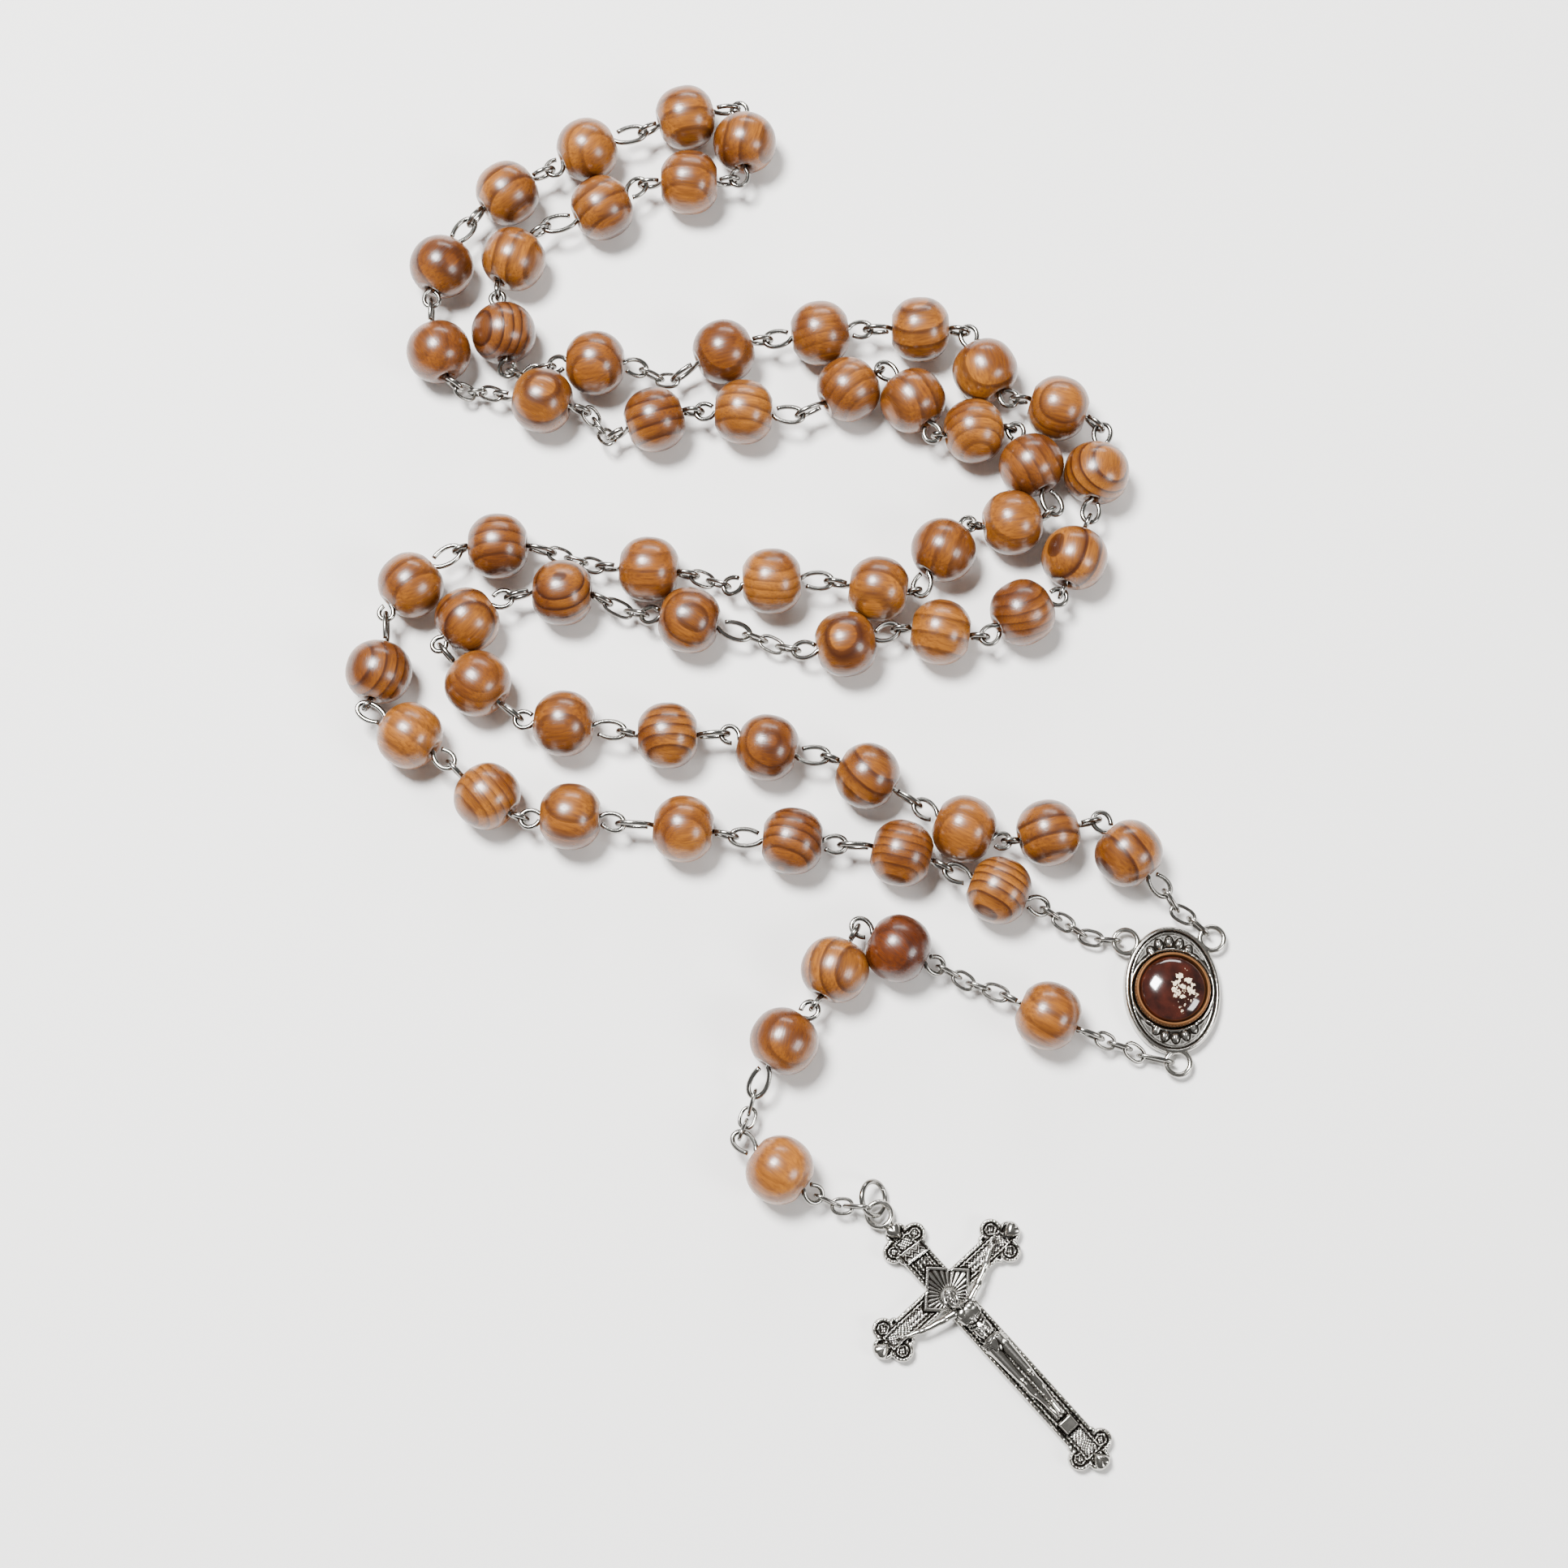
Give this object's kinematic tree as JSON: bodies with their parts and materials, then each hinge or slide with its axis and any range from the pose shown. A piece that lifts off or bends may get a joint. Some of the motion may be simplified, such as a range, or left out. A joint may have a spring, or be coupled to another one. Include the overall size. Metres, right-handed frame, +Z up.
{
  "type": "rosary",
  "caption": "Five-decade rosary: wooden beads on wire pins joined by chain, with an oval centre medal, short pendant and crucifix, laid flat.",
  "frame": {"origin": "middle of the laid-out rosary's box, on the surface it lies on", "axes": "+X to the right of the layout, +Y away from the crucifix end, +Z up off the surface"},
  "size_m": [0.1058, 0.1714, 0.008],
  "materials": {
    "olive_wood": "satin varnish over fine growth lines",
    "steel_wire": "bright drawn wire",
    "cast_silver": "cast relief with darkened recesses",
    "gilt_bezel": "polished gilt with a milled edge",
    "red_stone": "clear glossy dome over dark red with pale flecks"
  },
  "bodies": {
    "medal": {"medal_casting": "cast_silver", "medal_bezel": "gilt_bezel", "medal_cabochon": "red_stone"},
    "decade_5_pair_2": {"medal_chain_right": "steel_wire", "decade_5_pair_1": "olive_wood", "decade_5_pair_2": "olive_wood"},
    "decade_5_pair_3": {"decade_5_pair_3": "olive_wood"},
    "decade_5_pair_4": {"decade_5_pair_4": "olive_wood"},
    "decade_5_pair_5": {"decade_5_pair_5": "olive_wood"},
    "our_father_4_pin": {"our_father_4_pin": "steel_wire"},
    "decade_4_pair_1": {"decade_4_chain": "steel_wire", "decade_4_pair_1": "olive_wood"},
    "decade_4_pair_2": {"decade_4_pair_2": "olive_wood"},
    "decade_4_pair_3": {"decade_4_pair_3": "olive_wood"},
    "decade_4_pair_4": {"decade_4_pair_4": "olive_wood"},
    "decade_4_pair_5": {"decade_4_pair_5": "olive_wood"},
    "our_father_3_pin": {"our_father_3_pin": "steel_wire"},
    "decade_3_pair_1": {"decade_3_chain_right": "steel_wire", "decade_3_pair_1": "olive_wood"},
    "decade_3_pair_2": {"decade_3_pair_2": "olive_wood"},
    "decade_3_tip": {"decade_3_tip": "olive_wood"},
    "decade_1_pair_1": {"medal_chain_left": "steel_wire", "decade_1_pair_1": "olive_wood"},
    "decade_1_pair_2": {"decade_1_pair_2": "olive_wood"},
    "decade_1_pair_4": {"decade_1_pair_3": "olive_wood", "decade_1_pair_4": "olive_wood"},
    "decade_1_pair_5": {"decade_1_pair_5": "olive_wood"},
    "our_father_1_pin": {"our_father_1_pin": "steel_wire"},
    "decade_2_pair_1": {"decade_2_chain": "steel_wire", "decade_2_pair_1": "olive_wood"},
    "decade_2_pair_2": {"decade_2_pair_2": "olive_wood"},
    "decade_2_pair_3": {"decade_2_pair_3": "olive_wood"},
    "decade_2_pair_4": {"decade_2_pair_4": "olive_wood"},
    "decade_2_pair_5": {"decade_2_pair_5": "olive_wood"},
    "our_father_2_pin": {"our_father_2_pin": "steel_wire"},
    "decade_3_pair_3": {"decade_3_chain_left": "steel_wire", "decade_3_pair_3": "olive_wood"},
    "decade_3_pair_4": {"decade_3_pair_4": "olive_wood"},
    "pendant_chain_1": {"pendant_chain_1": "steel_wire"},
    "pendant_our_father_1_pin": {"pendant_our_father_1_pin": "steel_wire"},
    "pendant_chain_2": {"pendant_chain_2": "steel_wire"},
    "pendant_hail_mary_1_pin": {"pendant_hail_mary_1_pin": "steel_wire"},
    "pendant_hail_mary_2_pin": {"pendant_hail_mary_2_pin": "steel_wire"},
    "pendant_hail_mary_3_pin": {"pendant_hail_mary_3_pin": "steel_wire"},
    "pendant_chain_3": {"pendant_chain_3": "steel_wire"},
    "pendant_our_father_2_pin": {"pendant_our_father_2_pin": "steel_wire"},
    "pendant_chain_4": {"pendant_chain_4": "steel_wire"},
    "jump_ring": {"jump_ring": "steel_wire"},
    "crucifix": {"crucifix": "cast_silver"},
    "our_father_4_bead": {"our_father_4_bead": "olive_wood"},
    "our_father_3_bead": {"our_father_3_bead": "olive_wood"},
    "our_father_1_bead": {"our_father_1_bead": "olive_wood"},
    "our_father_2_bead": {"our_father_2_bead": "olive_wood"},
    "pendant_our_father_1_bead": {"pendant_our_father_1_bead": "olive_wood"},
    "pendant_hail_mary_1_bead": {"pendant_hail_mary_1_bead": "olive_wood"},
    "pendant_hail_mary_2_bead": {"pendant_hail_mary_2_bead": "olive_wood"},
    "pendant_hail_mary_3_bead": {"pendant_hail_mary_3_bead": "olive_wood"},
    "pendant_our_father_2_bead": {"pendant_our_father_2_bead": "olive_wood"}
  },
  "joints": [
    {"name": "fold_1", "type": "hinge", "parent": "medal", "child": "decade_5_pair_2", "pos_m": [0.05044, -0.02357, 0.00135], "axis": [-0.9956, -0.0939, 0], "range_deg": [-20, 20]},
    {"name": "fold_1_left", "type": "hinge", "parent": "medal", "child": "decade_1_pair_1", "pos_m": [0.03984, -0.02457, 0.00135], "axis": [-0.9956, -0.0939, 0], "range_deg": [-20, 20]},
    {"name": "fold_2", "type": "hinge", "parent": "decade_5_pair_2", "child": "decade_5_pair_3", "pos_m": [0.00524, -0.00247, 0.004], "axis": [-0.1789, 0.9839, 0], "range_deg": [-30, 30]},
    {"name": "fold_2_left", "type": "hinge", "parent": "decade_1_pair_1", "child": "decade_1_pair_2", "pos_m": [0.00724, -0.01347, 0.004], "axis": [-0.1789, 0.9839, 0], "range_deg": [-30, 30]},
    {"name": "fold_3", "type": "hinge", "parent": "decade_5_pair_3", "child": "decade_5_pair_4", "pos_m": [-0.01926, 0.00053, 0.004], "axis": [0, -1, 0], "range_deg": [-25, 25]},
    {"name": "fold_3_left", "type": "hinge", "parent": "decade_1_pair_2", "child": "decade_1_pair_4", "pos_m": [-0.01926, -0.01097, 0.004], "axis": [0, -1, 0], "range_deg": [-25, 25]},
    {"name": "fold_4", "type": "hinge", "parent": "decade_5_pair_4", "child": "decade_5_pair_5", "pos_m": [-0.04176, 0.01103, 0.004], "axis": [0.8517, -0.5241, 0], "range_deg": [-30, 30]},
    {"name": "fold_4_left", "type": "hinge", "parent": "decade_1_pair_4", "child": "decade_1_pair_5", "pos_m": [-0.04826, 0.01503, 0.004], "axis": [0.8517, -0.5241, 0], "range_deg": [-30, 30]},
    {"name": "fold_5", "type": "hinge", "parent": "decade_5_pair_5", "child": "our_father_4_pin", "pos_m": [-0.02126, 0.01703, 0.003], "axis": [-0.7328, 0.6805, 0], "range_deg": [-30, 30]},
    {"name": "fold_5_left", "type": "hinge", "parent": "decade_1_pair_5", "child": "our_father_1_pin", "pos_m": [-0.02826, 0.02353, 0.003], "axis": [-0.7328, 0.6805, 0], "range_deg": [-30, 30]},
    {"name": "fold_6", "type": "hinge", "parent": "our_father_4_pin", "child": "decade_4_pair_1", "pos_m": [-0.00426, 0.01303, 0.003], "axis": [0.6549, -0.7557, 0], "range_deg": [-30, 30]},
    {"name": "fold_6_left", "type": "hinge", "parent": "our_father_1_pin", "child": "decade_2_pair_1", "pos_m": [-0.01076, 0.02053, 0.003], "axis": [0.6549, -0.7557, 0], "range_deg": [-30, 30]},
    {"name": "fold_7", "type": "hinge", "parent": "decade_4_pair_1", "child": "decade_4_pair_2", "pos_m": [0.02474, 0.01203, 0.004], "axis": [-0.8, 0.6, 0], "range_deg": [-30, 30]},
    {"name": "fold_7_left", "type": "hinge", "parent": "decade_2_pair_1", "child": "decade_2_pair_2", "pos_m": [0.01674, 0.01803, 0.004], "axis": [-0.8, 0.6, 0], "range_deg": [-30, 30]},
    {"name": "fold_8", "type": "hinge", "parent": "decade_4_pair_2", "child": "decade_4_pair_3", "pos_m": [0.03774, 0.02753, 0.004], "axis": [0.9701, -0.2425, 0], "range_deg": [-30, 30]},
    {"name": "fold_8_left", "type": "hinge", "parent": "decade_2_pair_2", "child": "decade_2_pair_3", "pos_m": [0.03374, 0.02853, 0.004], "axis": [0.9701, -0.2425, 0], "range_deg": [-30, 30]},
    {"name": "fold_9", "type": "hinge", "parent": "decade_4_pair_3", "child": "decade_4_pair_4", "pos_m": [0.02874, 0.04303, 0.004], "axis": [-0.8944, -0.4472, 0], "range_deg": [-30, 30]},
    {"name": "fold_9_left", "type": "hinge", "parent": "decade_2_pair_3", "child": "decade_2_pair_4", "pos_m": [0.01874, 0.03803, 0.004], "axis": [-0.8944, -0.4472, 0], "range_deg": [-30, 30]},
    {"name": "fold_10", "type": "hinge", "parent": "decade_4_pair_4", "child": "decade_4_pair_5", "pos_m": [0.01074, 0.05253, 0.004], "axis": [0.5944, 0.8042, 0], "range_deg": [-30, 30]},
    {"name": "fold_10_left", "type": "hinge", "parent": "decade_2_pair_4", "child": "decade_2_pair_5", "pos_m": [0.00224, 0.04103, 0.004], "axis": [0.5944, 0.8042, 0], "range_deg": [-30, 30]},
    {"name": "fold_11", "type": "hinge", "parent": "decade_4_pair_5", "child": "our_father_3_pin", "pos_m": [-0.01326, 0.04603, 0.003], "axis": [-0.7071, -0.7071, 0], "range_deg": [-30, 15]},
    {"name": "fold_11_left", "type": "hinge", "parent": "decade_2_pair_5", "child": "our_father_2_pin", "pos_m": [-0.02126, 0.03803, 0.003], "axis": [-0.7071, -0.7071, 0], "range_deg": [-30, 15]},
    {"name": "fold_12", "type": "hinge", "parent": "our_father_3_pin", "child": "decade_3_pair_1", "pos_m": [-0.02876, 0.04803, 0.003], "axis": [0.8517, 0.5241, 0], "range_deg": [-25, 30]},
    {"name": "fold_12_left", "type": "hinge", "parent": "our_father_2_pin", "child": "decade_3_pair_3", "pos_m": [-0.03526, 0.04403, 0.003], "axis": [0.8517, 0.5241, 0], "range_deg": [-25, 30]},
    {"name": "fold_13", "type": "hinge", "parent": "decade_3_pair_1", "child": "decade_3_pair_2", "pos_m": [-0.02976, 0.06653, 0.004], "axis": [-0.9986, 0.0526, 0], "range_deg": [-25, 25]},
    {"name": "fold_13_left", "type": "hinge", "parent": "decade_3_pair_3", "child": "decade_3_pair_4", "pos_m": [-0.03926, 0.06703, 0.004], "axis": [-0.9986, 0.0526, 0], "range_deg": [-25, 25]},
    {"name": "fold_14", "type": "hinge", "parent": "decade_3_pair_2", "child": "decade_3_tip", "pos_m": [-0.00576, 0.07253, 0.004], "axis": [0.8638, -0.5039, 0], "range_deg": [-30, 30]},
    {"name": "pendant_chain_1_swing", "type": "hinge", "parent": "medal", "child": "pendant_chain_1", "pos_m": [0.04564, -0.03907, 0.00135], "axis": [-0.2957, -0.9553, 0], "range_deg": [-25, 30]},
    {"name": "pendant_pin_1_swing", "type": "hinge", "parent": "pendant_chain_1", "child": "pendant_our_father_1_pin", "pos_m": [0.03724, -0.03647, 0.003], "axis": [0.4138, 0.9104, 0], "range_deg": [-30, 30]},
    {"name": "pendant_chain_2_swing", "type": "hinge", "parent": "pendant_our_father_1_pin", "child": "pendant_chain_2", "pos_m": [0.02624, -0.03147, 0.003], "axis": [-0.4229, -0.9062, 0], "range_deg": [-30, 30]},
    {"name": "pendant_pin_2_swing", "type": "hinge", "parent": "pendant_chain_2", "child": "pendant_hail_mary_1_pin", "pos_m": [0.01874, -0.02797, 0.003], "axis": [0.4472, 0.8944, 0], "range_deg": [-30, 20]},
    {"name": "pendant_pin_3_swing", "type": "hinge", "parent": "pendant_hail_mary_1_pin", "child": "pendant_hail_mary_2_pin", "pos_m": [0.00874, -0.02297, 0.004], "axis": [0.8944, -0.4472, 0], "range_deg": [-30, 30]},
    {"name": "pendant_pin_4_swing", "type": "hinge", "parent": "pendant_hail_mary_2_pin", "child": "pendant_hail_mary_3_pin", "pos_m": [0.00374, -0.03297, 0.004], "axis": [-0.8192, 0.5735, 0], "range_deg": [-30, 30]},
    {"name": "pendant_chain_3_swing", "type": "hinge", "parent": "pendant_hail_mary_3_pin", "child": "pendant_chain_3", "pos_m": [-0.00326, -0.04297, 0.003], "axis": [0.9285, -0.3714, 0], "range_deg": [-30, 30]},
    {"name": "pendant_pin_5_swing", "type": "hinge", "parent": "pendant_chain_3", "child": "pendant_our_father_2_pin", "pos_m": [-0.00526, -0.04797, 0.003], "axis": [-0.5932, -0.8051, 0], "range_deg": [-30, 15]},
    {"name": "pendant_chain_4_swing", "type": "hinge", "parent": "pendant_our_father_2_pin", "child": "pendant_chain_4", "pos_m": [0.00424, -0.05497, 0.003], "axis": [0.2132, 0.977, 0], "range_deg": [-20, 30]},
    {"name": "ring_swing", "type": "hinge", "parent": "pendant_chain_4", "child": "jump_ring", "pos_m": [0.0095, -0.0562, 0.00314], "axis": [0.4056, -0.8191, -0.4056], "range_deg": [-25, 25]},
    {"name": "crucifix_swing", "type": "hinge", "parent": "jump_ring", "child": "crucifix", "pos_m": [0.01129, -0.05682, 0.00135], "axis": [0.626, 0.465, -0.626], "range_deg": [-30, 40]},
    {"name": "our_father_4_spin", "type": "hinge", "parent": "our_father_4_pin", "child": "our_father_4_bead", "pos_m": [-0.01126, 0.01453, 0.004], "axis": [0.9806, -0.1961, 0], "continuous": true},
    {"name": "our_father_3_spin", "type": "hinge", "parent": "our_father_3_pin", "child": "our_father_3_bead", "pos_m": [-0.02326, 0.04803, 0.004], "axis": [-0.9991, 0.0434, 0], "continuous": true},
    {"name": "our_father_1_spin", "type": "hinge", "parent": "our_father_1_pin", "child": "our_father_1_bead", "pos_m": [-0.01626, 0.02103, 0.004], "axis": [0.9962, -0.0866, 0], "continuous": true},
    {"name": "our_father_2_spin", "type": "hinge", "parent": "our_father_2_pin", "child": "our_father_2_bead", "pos_m": [-0.02976, 0.04303, 0.004], "axis": [-0.9839, 0.1789, 0], "continuous": true},
    {"name": "pendant_our_father_1_spin", "type": "hinge", "parent": "pendant_our_father_1_pin", "child": "pendant_our_father_1_bead", "pos_m": [0.03124, -0.03397, 0.004], "axis": [-0.9104, 0.4138, 0], "continuous": true},
    {"name": "pendant_hail_mary_1_spin", "type": "hinge", "parent": "pendant_hail_mary_1_pin", "child": "pendant_hail_mary_1_bead", "pos_m": [0.01374, -0.02597, 0.004], "axis": [-0.8944, 0.4472, 0], "continuous": true},
    {"name": "pendant_hail_mary_2_spin", "type": "hinge", "parent": "pendant_hail_mary_2_pin", "child": "pendant_hail_mary_2_bead", "pos_m": [0.00624, -0.02847, 0.004], "axis": [-0.4472, -0.8944, 0], "continuous": true},
    {"name": "pendant_hail_mary_3_spin", "type": "hinge", "parent": "pendant_hail_mary_3_pin", "child": "pendant_hail_mary_3_bead", "pos_m": [0.00024, -0.03697, 0.004], "axis": [-0.5735, -0.8192, 0], "continuous": true},
    {"name": "pendant_our_father_2_spin", "type": "hinge", "parent": "pendant_our_father_2_pin", "child": "pendant_our_father_2_bead", "pos_m": [-0.00026, -0.05197, 0.004], "axis": [0.8051, -0.5932, 0], "continuous": true}
  ],
  "couplings": [
    {"joint": "fold_1_left", "follows": "fold_1", "ratio": 1},
    {"joint": "fold_2_left", "follows": "fold_2", "ratio": 1},
    {"joint": "fold_3_left", "follows": "fold_3", "ratio": 1},
    {"joint": "fold_4_left", "follows": "fold_4", "ratio": 1},
    {"joint": "fold_5_left", "follows": "fold_5", "ratio": 1},
    {"joint": "fold_6_left", "follows": "fold_6", "ratio": 1},
    {"joint": "fold_7_left", "follows": "fold_7", "ratio": 1},
    {"joint": "fold_8_left", "follows": "fold_8", "ratio": 1},
    {"joint": "fold_9_left", "follows": "fold_9", "ratio": 1},
    {"joint": "fold_10_left", "follows": "fold_10", "ratio": 1},
    {"joint": "fold_11_left", "follows": "fold_11", "ratio": 1},
    {"joint": "fold_12_left", "follows": "fold_12", "ratio": 1},
    {"joint": "fold_13_left", "follows": "fold_13", "ratio": 1}
  ]
}
